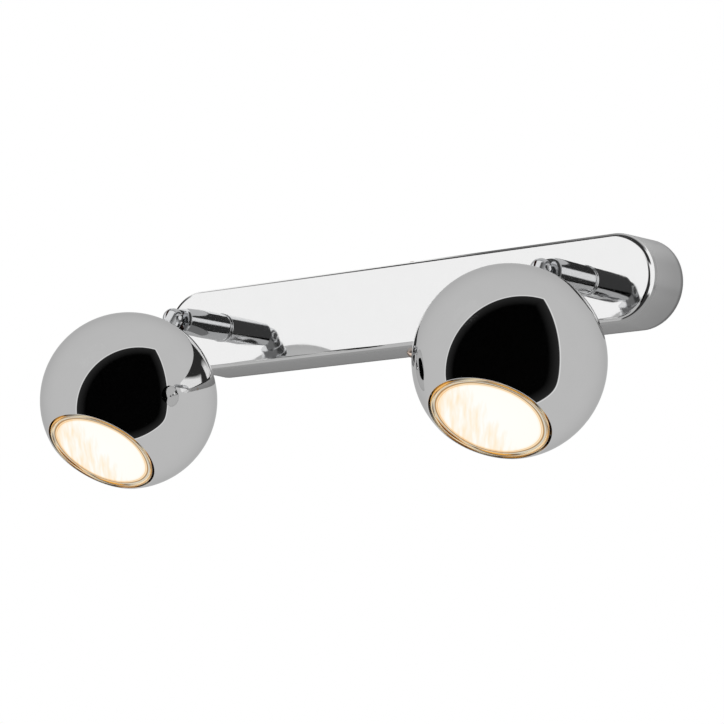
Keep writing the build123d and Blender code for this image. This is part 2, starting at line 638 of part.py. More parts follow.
    # Bent bracket under the nut that carries the lamp holder on its two flanges
    flange_middle = holder_back - BRACKET_SHEET / 2
    foot_middle = bracket_foot + BRACKET_SHEET / 2
    leg_middle = (bracket_foot_width + BRACKET_SHEET) / 2
    with BuildPart() as holder_bracket:
        with BuildSketch(profile_plane(head)):
            with BuildLine():
                FilletPolyline(
                    (-bracket_span / 2, flange_middle),
                    (-leg_middle, flange_middle),
                    (-leg_middle, foot_middle),
                    (leg_middle, foot_middle),
                    (leg_middle, flange_middle),
                    (bracket_span / 2, flange_middle),
                    radius=BRACKET_BEND_RADIUS,
                )
            trace(line_width=BRACKET_SHEET)
        extrude(amount=BRACKET_WIDTH / 2, both=True)
        with BuildSketch(head.offset(bracket_foot)):
            Circle(SPIGOT_DIAMETER / 2 + HOLE_FIT)
            with GridLocations(holder_screw_spacing, 0, 2, 1):
                Circle(HOLDER_SCREW_DIAMETER / 2 + HOLE_FIT)
        extrude(amount=BRACKET_HEIGHT, mode=Mode.SUBTRACT)
    save(holder_bracket, f"{hand}_holder_bracket")

    # Ceramic lamp holder: each pin drops in at the wide end of a keyhole and twists under its plate
    with BuildPart() as lamp_holder:
        with BuildSketch(head.offset(holder_back)):
            Circle(holder_diameter / 2)
            Rectangle(holder_diameter, HOLDER_FLATS, mode=Mode.INTERSECT)
        extrude(amount=HOLDER_HEIGHT)
        with BuildSketch(head.offset(lamp_seat)):
            for half_turn in (0, 180):
                SlotArc(pin_path, PIN_STALK_DIAMETER + 2 * PIN_SOCKET_FIT, rotation=half_turn)
            with PolarLocations(PIN_SPACING / 2, 2, start_angle=PIN_TWIST):
                Circle(PIN_HEAD_DIAMETER / 2 + PIN_SOCKET_FIT)
        extrude(amount=-PIN_LENGTH, mode=Mode.SUBTRACT)
        with BuildSketch(head.offset(lamp_seat - KEYHOLE_PLATE)):
            for half_turn in (0, 180):
                SlotArc(pin_path, PIN_HEAD_DIAMETER + 2 * PIN_SOCKET_ROOM, rotation=half_turn)
        extrude(amount=KEYHOLE_PLATE - PIN_LENGTH - PIN_SOCKET_ROOM, mode=Mode.SUBTRACT)
        with BuildSketch(head.offset(holder_back)):
            with GridLocations(holder_screw_spacing, 0, 2, 1):
                Circle(HOLDER_SCREW_DIAMETER / 2 + THREAD_FIT)
        extrude(amount=HOLDER_SCREW_LENGTH, mode=Mode.SUBTRACT)
    save(lamp_holder, f"{hand}_lamp_holder")

    # Two screws that hold the ceramic on the bracket
    with BuildPart() as holder_screws:
        with BuildSketch(head.offset(holder_back - BRACKET_SHEET)):
            with GridLocations(holder_screw_spacing, 0, 2, 1):
                Circle(HOLDER_SCREW_DIAMETER / 2)
        extrude(amount=HOLDER_SCREW_LENGTH)
        with BuildSketch(head.offset(holder_back - BRACKET_SHEET)):
            with GridLocations(holder_screw_spacing, 0, 2, 1):
                Circle(HOLDER_SCREW_HEAD_DIAMETER / 2)
        extrude(amount=-HOLDER_SCREW_HEAD_HEIGHT)
    save(holder_screws, f"{hand}_holder_screws")

    # Lamp base with two flats
    with BuildPart() as lamp_base:
        with BuildSketch(head.offset(lamp_seat)):
            Circle(LAMP_BASE_DIAMETER / 2)
            Rectangle(LAMP_BASE_DIAMETER, LAMP_BASE_FLATS, mode=Mode.INTERSECT)
        extrude(amount=LAMP_BASE_HEIGHT)
    save(lamp_base, f"{hand}_lamp_base")

    # Lamp pins: a stalk with a wider foot that twists into the holder
    with BuildPart() as lamp_pins:
        with BuildSketch(head.offset(lamp_seat)):
            with GridLocations(PIN_SPACING, 0, 2, 1):
                Circle(PIN_STALK_DIAMETER / 2)
        extrude(amount=-PIN_LENGTH)
        with BuildSketch(head.offset(lamp_seat - PIN_LENGTH)):
            with GridLocations(PIN_SPACING, 0, 2, 1):
                Circle(PIN_HEAD_DIAMETER / 2)
        extrude(amount=PIN_HEAD_HEIGHT)
    save(lamp_pins, f"{hand}_lamp_pins")

    # Lamp reflector: a pressed glass bowl with a rim that holds the lens
    bowl_rim = lamp_front - LAMP_RIM_HEIGHT
    belly = lamp_front - LAMP_BELLY_DEPTH
    lens_back = lamp_front - LENS_THICKNESS
    with BuildPart() as lamp_reflector:
        with BuildSketch(profile_plane(head)):
            with BuildLine():
                Polyline(
                    (LAMP_NECK_DIAMETER / 2 - LAMP_GLASS, lamp_base_top),
                    (LAMP_NECK_DIAMETER / 2, lamp_base_top),
                )
                ThreePointArc(
                    (LAMP_NECK_DIAMETER / 2, lamp_base_top),
                    (LAMP_DIAMETER / 2 - LAMP_BELLY_INSET, belly),
                    (LAMP_DIAMETER / 2, bowl_rim),
                )
                Polyline(
                    (LAMP_DIAMETER / 2, bowl_rim),
                    (LAMP_DIAMETER / 2, lamp_front),
                    (lens_radius + LENS_FIT, lamp_front),
                    (lens_radius + LENS_FIT, lens_back),
                    (lens_radius - LAMP_GLASS, lens_back),
                    (lens_radius - LAMP_GLASS, bowl_rim),
                )
                ThreePointArc(
                    (lens_radius - LAMP_GLASS, bowl_rim),
                    (LAMP_DIAMETER / 2 - LAMP_BELLY_INSET - LAMP_GLASS, belly),
                    (LAMP_NECK_DIAMETER / 2 - LAMP_GLASS, lamp_base_top),
                )
            make_face()
        revolve(axis=turning_axis(head))
    save(lamp_reflector, f"{hand}_lamp_reflector")

    # Front lens of the lamp
    with BuildPart() as lamp_lens:
        with BuildSketch(head.offset(lens_back)):
            Circle(lens_radius)
        extrude(amount=LENS_THICKNESS)
    save(lamp_lens, f"{hand}_lamp_lens")

    # Burner capsule that stands on the lamp base inside the bowl
    with BuildPart() as lamp_capsule:
        with BuildSketch(profile_plane(head)):
            with BuildLine():
                Polyline(
                    (0, lamp_base_top + CAPSULE_LENGTH),
                    (0, lamp_base_top),
                    (CAPSULE_DIAMETER / 2, lamp_base_top),
                    (CAPSULE_DIAMETER / 2, lamp_base_top + CAPSULE_LENGTH - CAPSULE_DIAMETER / 2),
                )
                RadiusArc(
                    (CAPSULE_DIAMETER / 2, lamp_base_top + CAPSULE_LENGTH - CAPSULE_DIAMETER / 2),
                    (0, lamp_base_top + CAPSULE_LENGTH),
                    -CAPSULE_DIAMETER / 2,
                )
            make_face()
        revolve(axis=turning_axis(head))
    save(lamp_capsule, f"{hand}_lamp_capsule")
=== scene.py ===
import json
import math

import bmesh
import bpy
from mathutils import Matrix, Vector


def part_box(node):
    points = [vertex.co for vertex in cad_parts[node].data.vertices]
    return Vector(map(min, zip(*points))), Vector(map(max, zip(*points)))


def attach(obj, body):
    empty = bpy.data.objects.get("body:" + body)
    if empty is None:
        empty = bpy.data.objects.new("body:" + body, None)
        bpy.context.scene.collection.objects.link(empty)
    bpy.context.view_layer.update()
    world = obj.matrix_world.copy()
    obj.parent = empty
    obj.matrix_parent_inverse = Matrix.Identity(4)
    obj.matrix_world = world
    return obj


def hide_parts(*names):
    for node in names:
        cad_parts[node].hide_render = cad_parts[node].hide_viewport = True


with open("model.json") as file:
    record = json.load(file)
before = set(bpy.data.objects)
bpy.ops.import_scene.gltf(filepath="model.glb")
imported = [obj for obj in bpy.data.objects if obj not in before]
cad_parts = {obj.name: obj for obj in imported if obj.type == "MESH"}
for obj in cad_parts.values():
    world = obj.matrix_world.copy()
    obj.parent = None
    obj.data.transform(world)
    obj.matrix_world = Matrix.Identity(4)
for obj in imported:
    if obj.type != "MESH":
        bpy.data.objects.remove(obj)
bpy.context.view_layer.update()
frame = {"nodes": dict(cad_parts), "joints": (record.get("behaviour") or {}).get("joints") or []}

# Wall strap with its earth screw and cup washer, the terminal block's screw and the cover's two stop studs.
# The strap is pressed from steel sheet with two bent ears and is screwed to the wall through two slots.
# All of them are zinc plated before they are put together.
MM = 0.001
CLOUD_DETAIL = 3.0
CLOUD_LOW, CLOUD_HIGH = 0.3, 0.7


def linear(hex_colour):
    """Linear colour with full alpha for an sRGB hex value."""
    shares = [int(hex_colour[i:i + 2], 16) / 255 for i in (0, 2, 4)]
    return (*[s / 12.92 if s <= 0.04045 else ((s + 0.055) / 1.055) ** 2.4 for s in shares], 1.0)


def add_node(tree, kind, inputs=None, **settings):
    """Add a node, set its properties, and fill its inputs: a socket is linked, anything else is set."""
    node = tree.nodes.new(kind)
    for name, value in settings.items():
        setattr(node, name, value)
    for key, value in (inputs or {}).items():
        if isinstance(value, bpy.types.NodeSocket):
            tree.links.new(value, node.inputs[key])
        else:
            node.inputs[key].default_value = value
    return node


def make_finish(name, light, dark, grain, roughness, relief, **surface):
    """A finish whose colour, roughness and relief follow one noise; grain and relief are in millimetres."""
    finish = bpy.data.materials.new(name)
    finish.use_nodes = True
    tree = finish.node_tree
    shader = tree.nodes["Principled BSDF"]
    place = add_node(tree, "ShaderNodeTexCoord")
    noise = add_node(
        tree,
        "ShaderNodeTexNoise",
        {"Vector": place.outputs["Object"], "Scale": 1 / (grain * MM), "Detail": CLOUD_DETAIL},
    )
    share = noise.outputs["Fac"]
    colour = add_node(
        tree, "ShaderNodeMix", {0: share, 6: linear(dark), 7: linear(light)}, data_type="RGBA"
    )
    gloss = add_node(
        tree,
        "ShaderNodeMapRange",
        {
            "Value": share,
            "From Min": CLOUD_LOW,
            "From Max": CLOUD_HIGH,
            "To Min": roughness[0],
            "To Max": roughness[1],
        },
    )
    bump = add_node(tree, "ShaderNodeBump", {"Height": share, "Distance": relief * MM})
    tree.links.new(colour.outputs[2], shader.inputs["Base Color"])
    tree.links.new(gloss.outputs["Result"], shader.inputs["Roughness"])
    tree.links.new(bump.outputs["Normal"], shader.inputs["Normal"])
    for socket, value in surface.items():
        shader.inputs[socket.replace("_", " ")].default_value = value
    return finish


def dress(finish, *names):
    """Give CAD nodes a finish."""
    for name in names:
        for slot in frame["nodes"][name].material_slots:
            slot.material = finish


# Zinc plated steel: a cool, slightly cloudy bright grey from the plating bath.
zinc_plate = make_finish(
    "zinc_plated_steel",
    light="c9ced4",
    dark="a3a9ae",
    grain=2.5,
    roughness=(0.24, 0.4),
    relief=0.004,
    Metallic=1.0,
)
dress(zinc_plate, "wall_strap", "stop_studs", "earth_cup_washer", "earth_screw", "block_screw")

# Terminal block: three poles moulded in polyamide, each with a brass sleeve pressed in and two clamping screws.
# It sits on the strap and joins the supply to the lamp wires.

# Natural polyamide, moulded: milky white with a faint satin grain.
polyamide = make_finish(
    "moulded_polyamide", light="f0eee6", dark="e2dfd4", grain=0.8, roughness=(0.38, 0.5), relief=0.01
)
dress(polyamide, "terminal_block")

# Turned brass: yellow metal with soft tool marks, drawn coarser than they are so that they show.
turned_brass = make_finish(
    "turned_brass",
    light="dcc078",
    dark="c4a458",
    grain=0.6,
    roughness=(0.2, 0.34),
    relief=0.006,
    Metallic=1.0,
)
dress(turned_brass, "terminal_sleeves", "terminal_screws")

# Cover pan: a round-ended pan deep-drawn from steel sheet, open towards the wall, its face edged by a small radius.
# It is polished and chromed, and two domed screws at the sides hold it on the strap's ears.
PAN_LENGTH = 268.0
PAN_HEIGHT = 40.0
PAN_DEPTH = 25.5
PAN_SHEET = 1.2
PAN_DRAFT = math.radians(1.7)
PAN_EDGE_RADIUS = 2.2
PAN_INNER_RADIUS = 0.6
PAN_LIP_RADIUS = 0.3
PAN_END_STEPS = 96
PAN_EDGE_STEPS = 10
WELD_GAP = 1e-4
PLAIN_CREASE = 30.0


def arc(middle, radius, start, end, steps):
    """Points along an arc between two angles in degrees."""
    turns = [math.radians(start + (end - start) * i / steps) for i in range(steps + 1)]
    return [(middle[0] + radius * math.cos(t), middle[1] + radius * math.sin(t)) for t in turns]


def skin(shape, rows):
    """Faces between closed rows of points that have equal counts."""
    rows = [[shape.verts.new(point) for point in row] for row in rows]
    for row, following in zip(rows, rows[1:]):
        for i in range(len(row)):
            shape.faces.new((row[i - 1], row[i], following[i], following[i - 1]))
    return rows


def weld(shape):
    """Join points that meet, drop faces with no area, and turn every face outwards."""
    bmesh.ops.remove_doubles(shape, verts=shape.verts, dist=WELD_GAP)
    bmesh.ops.dissolve_degenerate(shape, edges=shape.edges, dist=WELD_GAP)
    bmesh.ops.recalc_face_normals(shape, faces=shape.faces)


def place_on(origin, across, along):
    """Matrix that puts what is drawn on its own axes, z along it and x across it, at a place in the frame."""
    turn = Matrix((across, along.cross(across), along)).transposed()
    return Matrix.Translation(origin) @ turn.to_4x4()


def add_piece(name, shape, place, finish, body, slot, *nodes, crease=PLAIN_CREASE):
    """Weld and crease a mesh drawn in millimetres, place it, and let it stand for CAD nodes on a body."""
    weld(shape)
    for face in shape.faces:
        face.smooth = True
    for edge in shape.edges:
        edge.smooth = edge.calc_face_angle(0.0) < math.radians(crease)
    own_place = shape.verts.layers.float_vector.new("own_place")
    for vert in shape.verts:
        vert[own_place] = vert.co * MM
    shape.transform(place @ Matrix.Scale(MM, 4))
    mesh = bpy.data.meshes.new(name)
    shape.to_mesh(mesh)
    shape.free()
    mesh.materials.append(finish)
    piece = bpy.data.objects.new(name, mesh)
    bpy.context.scene.collection.objects.link(piece)
    piece.modifiers.new("even_normals", "WEIGHTED_NORMAL").keep_sharp = True
    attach(piece, body)
    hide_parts(*nodes)


# Bright chrome: the face is polished to a mirror with a breath of haze, the drawn sides keep a satin shine.
# Painted shade greys the drawn sides towards the wall, and a painted shade line darkens them along the lip. The
# depths are distances from the wall.
PAN_SIDE_GREY = "f0f0f0"
PAN_SIDE_ROUGHNESS = 0.3
PAN_SATIN_START = -22.7
PAN_SATIN_END = -21.4
# Painted shade colours: the grey at the lip, and the darker line just short of it.
PAN_LIP_PAINTED_SHADE = "dcdcdc"
PAN_LIP_LINE_PAINTED_SHADE = "b0b0b0"
PAN_SHADE_LINE_START = -2.6
PAN_SHADE_LINE_END = -1.3
pan_chrome = make_finish(
    "bright_chrome",
    light="f5f5f5",
    dark="f2f2f2",
    grain=6.0,
    roughness=(0.03, 0.06),
    relief=0.0,
    Metallic=1.0,
)
tree = pan_chrome.node_tree
shader = tree.nodes["Principled BSDF"]
polished_colour = shader.inputs["Base Color"].links[0].from_socket
polished_gloss = shader.inputs["Roughness"].links[0].from_socket
place = add_node(tree, "ShaderNodeTexCoord")
depth = add_node(tree, "ShaderNodeSeparateXYZ", {"Vector": place.outputs["Object"]})
satin = add_node(
    tree,
    "ShaderNodeMapRange",
    {"Value": depth.outputs["Y"], "From Min": PAN_SATIN_START * MM, "From Max": PAN_SATIN_END * MM},
)
# Painted shade: the sides' colour greys from the face towards the lip on the wall.
painted_shade_towards_lip = add_node(
    tree,
    "ShaderNodeMapRange",
    {"Value": depth.outputs["Y"], "From Min": PAN_SATIN_START * MM, "From Max": 0.0},
)
side_colour_with_painted_shade = add_node(
    tree,
    "ShaderNodeMix",
    {0: painted_shade_towards_lip.outputs["Result"], 6: linear(PAN_SIDE_GREY), 7: linear(PAN_LIP_PAINTED_SHADE)},
    data_type="RGBA",
)
# Painted shade line: a dark band on the sides just short of the lip.
painted_shade_line = add_node(
    tree,
    "ShaderNodeMapRange",
    {"Value": depth.outputs["Y"], "From Min": PAN_SHADE_LINE_START * MM, "From Max": PAN_SHADE_LINE_END * MM},
)
side_colour_with_painted_shade_line = add_node(
    tree,
    "ShaderNodeMix",
    {0: painted_shade_line.outputs["Result"], 6: side_colour_with_painted_shade.outputs[2], 7: linear(PAN_LIP_LINE_PAINTED_SHADE)},
    data_type="RGBA",
)
colour = add_node(
    tree,
    "ShaderNodeMix",
    {0: satin.outputs["Result"], 6: polished_colour, 7: side_colour_with_painted_shade_line.outputs[2]},
    data_type="RGBA",
)
gloss = add_node(
    tree, "ShaderNodeMix", {0: satin.outputs["Result"], 2: polished_gloss, 3: PAN_SIDE_ROUGHNESS}
)
tree.links.new(colour.outputs[2], shader.inputs["Base Color"])
tree.links.new(gloss.outputs[0], shader.inputs["Roughness"])


def drawn_profile(height, depth, edge_radius):
    """Reach and stand of one side of the drawn sheet, from the middle of its face to its lip on the wall."""
    corner_stand = depth - edge_radius
    corner_reach = height / 2 - corner_stand * math.tan(PAN_DRAFT) - edge_radius / math.cos(PAN_DRAFT)
    corner = arc((corner_reach, corner_stand), edge_radius, 90, math.degrees(PAN_DRAFT), PAN_EDGE_STEPS)
    return [(0, depth), *corner, (height / 2, 0)]


outside = drawn_profile(PAN_HEIGHT, PAN_DEPTH, PAN_EDGE_RADIUS)
inside = drawn_profile(PAN_HEIGHT - 2 * PAN_SHEET, PAN_DEPTH - PAN_SHEET, PAN_INNER_RADIUS)
lip_middle = (PAN_HEIGHT / 2 - PAN_LIP_RADIUS, PAN_LIP_RADIUS)
lip = arc(lip_middle, PAN_LIP_RADIUS, 0, -90, PAN_EDGE_STEPS)
pan_section = [*outside[:-1], *lip, *reversed(inside)]
half_run = (PAN_LENGTH - PAN_HEIGHT) / 2
pan_rows = []
for reach, stand in pan_section:
    right = arc((half_run, 0), reach, -90, 90, PAN_END_STEPS)
    left = arc((-half_run, 0), reach, 90, 270, PAN_END_STEPS)
    pan_rows.append([(x, -stand, z) for x, z in right + left])
pan = bmesh.new()
skin(pan, pan_rows)
add_piece("cover_pan_chromed", pan, Matrix.Identity(4), pan_chrome, "bar", "chrome_pan", "cover_pan")

# Side screws: two domed screws, turned from brass and nickelled, through the cover's long sides into the ears.
# Each has a sawn slot for the screwdriver.
SIDE_SCREW_STAND = 10.0
SIDE_SCREW_DIAMETER = 4.0
SIDE_SCREW_LENGTH = 7.0
SIDE_SCREW_RIM = 3.5
SIDE_SCREW_HEAD_HEIGHT = 2.8
SIDE_SCREW_RIM_HEIGHT = 0.4
SIDE_SCREW_SLOT = (3 * SIDE_SCREW_RIM, 0.9, 1.8)
SIDE_SCREW_DOME_STEPS = 12
TURNED_STEPS = 96


def turn(shape, profile):
    """Turn a line of radius and height points round the z axis."""
    around = [2 * math.pi * i / TURNED_STEPS for i in range(TURNED_STEPS)]
    skin(shape, [[(r * math.cos(a), r * math.sin(a), h) for a in around] for r, h in profile])


def dome(rim_radius, rise, top, steps):
    """Points of a turned dome from its rim to its top, which lies at a given height."""
    radius = (rim_radius**2 + rise**2) / (2 * rise)
    start = math.degrees(math.acos(rim_radius / radius))
    return arc((0, top - radius), radius, start, 90, steps)


def combine(shape, tool, operation):
    """Join a closed tool to a closed shape, or cut it away, and return what comes out."""
    blanks = []
    for part in (shape, tool):
        weld(part)
        mesh = bpy.data.meshes.new("blank")
        part.to_mesh(mesh)
        part.free()
        blanks.append(bpy.data.objects.new("blank", mesh))
        bpy.context.scene.collection.objects.link(blanks[-1])
    step = blanks[0].modifiers.new("step", "BOOLEAN")
    step.operation = operation
    step.object = blanks[1]
    step.solver = "EXACT"
    outcome = bmesh.new()
    outcome.from_object(blanks[0], bpy.context.evaluated_depsgraph_get())
    for blank in blanks:
        mesh = blank.data
        bpy.data.objects.remove(blank)
        bpy.data.meshes.remove(mesh)
    return outcome


# Nickel on turned brass: a warmer and softer shine than chrome.
screw_nickel = make_finish(
    "nickelled_brass",
    light="ecd8ca",
    dark="d9c2b2",
    grain=1.0,
    roughness=(0.1, 0.2),
    relief=0.0,
    Metallic=1.0,
)

screw_profile = [
    (0, -SIDE_SCREW_LENGTH),
    (SIDE_SCREW_DIAMETER / 2, -SIDE_SCREW_LENGTH),
    (SIDE_SCREW_DIAMETER / 2, 0),
    (SIDE_SCREW_RIM, 0),
    *dome(
        SIDE_SCREW_RIM,
        SIDE_SCREW_HEAD_HEIGHT - SIDE_SCREW_RIM_HEIGHT,
        SIDE_SCREW_HEAD_HEIGHT,
        SIDE_SCREW_DOME_STEPS,
    ),
]
slot_place = Matrix.Translation((0, 0, SIDE_SCREW_HEAD_HEIGHT)) @ Matrix.Diagonal((*SIDE_SCREW_SLOT, 1))
side_screws = bmesh.new()
for side in (1, -1):
    screw = bmesh.new()
    turn(screw, screw_profile)
    slot_tool = bmesh.new()
    bmesh.ops.create_cube(slot_tool, size=1, matrix=slot_place)
    screw = combine(screw, slot_tool, "DIFFERENCE")
    seat_height = PAN_HEIGHT / 2 - SIDE_SCREW_STAND * math.tan(PAN_DRAFT)
    seat = Vector((0, -SIDE_SCREW_STAND, side * seat_height))
    out = Vector((0, -math.sin(PAN_DRAFT), side * math.cos(PAN_DRAFT)))
    screw.transform(place_on(seat, Vector((1, 0, 0)), out))
    loose = bpy.data.meshes.new("loose")
    screw.to_mesh(loose)
    screw.free()
    side_screws.from_mesh(loose)
    bpy.data.meshes.remove(loose)
add_piece(
    "side_screws_nickelled",
    side_screws,
    Matrix.Identity(4),
    screw_nickel,
    "bar",
    "chrome_joint",
    "side_screws",
)

# Swivel fixing behind the cover's face: a threaded steel nipple, a tabbed stop washer, a spring washer and a nut.
# The nut pulls the stem against the face just hard enough to turn by hand, and the tab meets the stop stud.
HANDS = ("left", "right")
for hand in HANDS:
    dress(zinc_plate, *(f"{hand}_{n}" for n in ("nipple", "stop_washer", "spring_washer", "nipple_nut")))

# Stems: a brass rod for each head, turned with a fine bead round its foot and a small radius at its end.
# It is planed flat above and below towards that end, which carries one half of a split ball, the knuckle.
# The whole stem is chromed and turns on the cover.
STEM_DIAMETER = 13.0
BEAD_RADIUS = 0.85
BEAD_STAND = 0.3
STEM_END_RADIUS = 1.2
STEM_EDGE_STEPS = 16
STEM_ARC_STEPS = 64
STEM_FLAT_STEPS = 60
STEM_LIFT = 0.08
FLAT_START = 12.0
PIVOT_HEIGHT = 36.0
KNUCKLE_DIAMETER = 9.5
KNUCKLE_ROOM = 0.55
KNUCKLE_ROOT = 4.0
KNUCKLE_HALF_GAP = 0.6
KNUCKLE_STEPS = 40
STEM_CREASE = 8.5
OUT_OF_WALL = Vector((0, -1, 0))

# Chrome on turned brass: a hard mirror, a little hazy here and there where the turned rod shows through.
joint_chrome = make_finish(
    "chromed_brass",
    light="e0e1e2",
    dark="d6d7d9",
    grain=1.5,
    roughness=(0.06, 0.12),
    relief=0.0,
    Metallic=1.0,
)


def half_knuckle(root):
    """Half of a round-ended rod about the pivot, with its root below, cut just short of the plane x = 0."""
    radius = KNUCKLE_DIAMETER / 2
    top = math.degrees(math.acos(KNUCKLE_HALF_GAP / radius))
    ends = arc((0, 0), radius, 0, top, KNUCKLE_STEPS)
    rows = []
    for reach, height in [(radius, -root), *ends]:
        opening = math.degrees(math.acos(min(1.0, KNUCKLE_HALF_GAP / reach)))
        round_side = arc((0, 0), reach, 180 - opening, 180 + opening, KNUCKLE_STEPS)
        rows.append([(x, y, height) for x, y in round_side])
    half = bmesh.new()
    rings = skin(half, rows)
    half.faces.new(rings[0])
    return half


joints = {joint["name"]: joint for joint in frame["joints"]}
stem_radius = STEM_DIAMETER / 2
shoulder = PIVOT_HEIGHT - KNUCKLE_DIAMETER / 2 - KNUCKLE_ROOM
bead_middle = (stem_radius + BEAD_STAND - BEAD_RADIUS, STEM_LIFT + BEAD_RADIUS)
bead_end = math.degrees(math.acos(1 - BEAD_STAND / BEAD_RADIUS))
end_middle = (stem_radius - STEM_END_RADIUS, shoulder - STEM_END_RADIUS)
bead = arc(bead_middle, BEAD_RADIUS, -90, bead_end, STEM_EDGE_STEPS)
round_end = arc(end_middle, STEM_END_RADIUS, 0, 90, STEM_EDGE_STEPS)
planed = end_middle[1] - FLAT_START
straight = [(stem_radius, FLAT_START + planed * i / STEM_FLAT_STEPS) for i in range(STEM_FLAT_STEPS)]
slope = (STEM_DIAMETER - KNUCKLE_DIAMETER) / 2 / (PIVOT_HEIGHT - FLAT_START)
stem_rows = []
for reach, height in bead + straight + round_end:
    flat = reach if height <= FLAT_START else stem_radius - (height - FLAT_START) * slope
    opening = math.degrees(math.asin(min(1.0, flat / reach)))
    near = arc((0, 0), reach, -opening, opening, STEM_ARC_STEPS)
    far = arc((0, 0), reach, 180 - opening, 180 + opening, STEM_ARC_STEPS)
    stem_rows.append([(x, y, height) for x, y in near + far])
for hand in HANDS:
    tilt_joint = joints[f"{hand}_head_tilt"]
    foot = Vector(tilt_joint["pos_m"]) - OUT_OF_WALL * PIVOT_HEIGHT * MM
    rod = bmesh.new()
    rings = skin(rod, stem_rows)
    rod.faces.new(rings[0])
    rod.faces.new(rings[-1])
    knuckle = half_knuckle(PIVOT_HEIGHT - shoulder + KNUCKLE_ROOT)
    knuckle.transform(Matrix.Translation((0, 0, PIVOT_HEIGHT)))
    rod = combine(rod, knuckle, "UNION")
    add_piece(
        f"{hand}_stem_chromed",
        rod,
        place_on(foot, Vector(tilt_joint["axis"]), OUT_OF_WALL),
        joint_chrome,
        f"{hand}_swivel",
        "chrome_joint",
        f"{hand}_stem",
        crease=STEM_CREASE,
    )

# Friction disc and pivot screw of each knuckle: a fibre washer between the two half balls, and a chromed screw.
# The screw clamps the halves; it is fixed in the stem's half and the head tilts on it.
PIVOT_DIAMETER = 3.0
PIVOT_HEAD_DIAMETER = 4.4
PIVOT_HEAD_SEAT = 2.65
PIVOT_HEAD_END = 4.5
PIVOT_SCREW_DEPTH = 3.55
PIVOT_HEAD_EDGE = 1.2
SMALL_EDGE_STEPS = 6

# Vulcanised fibre: dense dark red-brown board with a fine fleck.
fibre_board = make_finish(
    "vulcanised_fibre", light="6a3a2c", dark="4c281f", grain=0.5, roughness=(0.55, 0.7), relief=0.02
)

head_edge_middle = (PIVOT_HEAD_DIAMETER / 2 - PIVOT_HEAD_EDGE, PIVOT_HEAD_END - PIVOT_HEAD_EDGE)
pivot_profile = [
    (0, -PIVOT_SCREW_DEPTH),
    (PIVOT_DIAMETER / 2, -PIVOT_SCREW_DEPTH),
    (PIVOT_DIAMETER / 2, PIVOT_HEAD_SEAT),
    (PIVOT_HEAD_DIAMETER / 2, PIVOT_HEAD_SEAT),
    *arc(head_edge_middle, PIVOT_HEAD_EDGE, 0, 90, SMALL_EDGE_STEPS),
    (0, PIVOT_HEAD_END),
]
for hand in HANDS:
    dress(fibre_board, f"{hand}_friction_disc")
    tilt_joint = joints[f"{hand}_head_tilt"]
    pivot_screw = bmesh.new()
    turn(pivot_screw, pivot_profile)
    add_piece(
        f"{hand}_pivot_screw_chromed",
        pivot_screw,
        place_on(Vector(tilt_joint["pos_m"]), OUT_OF_WALL, Vector(tilt_joint["axis"])),
        joint_chrome,
        f"{hand}_swivel",
        "chrome_joint",
        f"{hand}_pivot_screw",
    )

# Necks: the other half of each knuckle, a short barrel, a collar that seats on the ball and a threaded spigot.
# Each is turned from brass in one piece, bored for the wires and chromed.
NECK_LENGTH = 10.55
NECK_DIAMETER = 11.0
COLLAR_DIAMETER = 12.4
COLLAR_HEIGHT = 1.6
NECK_EDGE = 0.3
NECK_CREASE = 20.0
SPIGOT_DIAMETER = 8.0
SPIGOT_END = 19.0
SCREW_CLEARANCE = 0.06
COUNTERSINK_RADIUS = 3.05
COUNTERSINK_START = 2.9
COUNTERSINK_END = 3.7


def beam_of(hand):
    """Direction of a lamp's beam, from its knuckle to the middle of its lens."""
    low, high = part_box(f"{hand}_lamp_lens")
    return ((low + high) / 2 - Vector(joints[f"{hand}_head_tilt"]["pos_m"])).normalized()


def place_head(hand):
    """Matrix from a head's own axes, z along the beam and x along the tilt axis, into the frame."""
    joint = joints[f"{hand}_head_tilt"]
    return place_on(Vector(joint["pos_m"]), Vector(joint["axis"]), beam_of(hand))


barrel_start = KNUCKLE_DIAMETER / 2 + KNUCKLE_ROOM
collar_start = NECK_LENGTH - COLLAR_HEIGHT
barrel_edge = NECK_DIAMETER / 2 - NECK_EDGE
collar_edge = COLLAR_DIAMETER / 2 - NECK_EDGE
neck_profile = [
    (0, barrel_start),
    *arc((barrel_edge, barrel_start + NECK_EDGE), NECK_EDGE, -90, 0, SMALL_EDGE_STEPS),
    (NECK_DIAMETER / 2, collar_start),
    *arc((collar_edge, collar_start + NECK_EDGE), NECK_EDGE, -90, 0, SMALL_EDGE_STEPS),
    *arc((collar_edge, NECK_LENGTH - NECK_EDGE), NECK_EDGE, 0, 90, SMALL_EDGE_STEPS),
    (SPIGOT_DIAMETER / 2, NECK_LENGTH),
    (SPIGOT_DIAMETER / 2, SPIGOT_END),
    (0, SPIGOT_END),
]
shank_room = PIVOT_DIAMETER / 2 + SCREW_CLEARANCE
head_room = PIVOT_HEAD_DIAMETER / 2 + SCREW_CLEARANCE
bore_profile = [
    (0, 0),
    (shank_room, 0),
    (shank_room, PIVOT_HEAD_SEAT - SCREW_CLEARANCE),
    (head_room, PIVOT_HEAD_SEAT - SCREW_CLEARANCE),
    (head_room, COUNTERSINK_START),
    (COUNTERSINK_RADIUS, COUNTERSINK_END),
    (COUNTERSINK_RADIUS, KNUCKLE_DIAMETER),
    (0, KNUCKLE_DIAMETER),
]
for hand in HANDS:
    neck = bmesh.new()
    turn(neck, neck_profile)
    knuckle = half_knuckle(NECK_LENGTH - COLLAR_HEIGHT / 2)
    knuckle.transform(Matrix.Rotation(math.pi, 4, "Y"))
    neck = combine(neck, knuckle, "UNION")
    bore = bmesh.new()
    turn(bore, bore_profile)
    bore.transform(Matrix.Rotation(math.pi / 2, 4, "Y"))
    neck = combine(neck, bore, "DIFFERENCE")
    add_piece(
        f"{hand}_neck_chromed",
        neck,
        place_head(hand),
        joint_chrome,
        f"{hand}_head",
        "chrome_joint",
        f"{hand}_neck",
        crease=NECK_CREASE,
    )

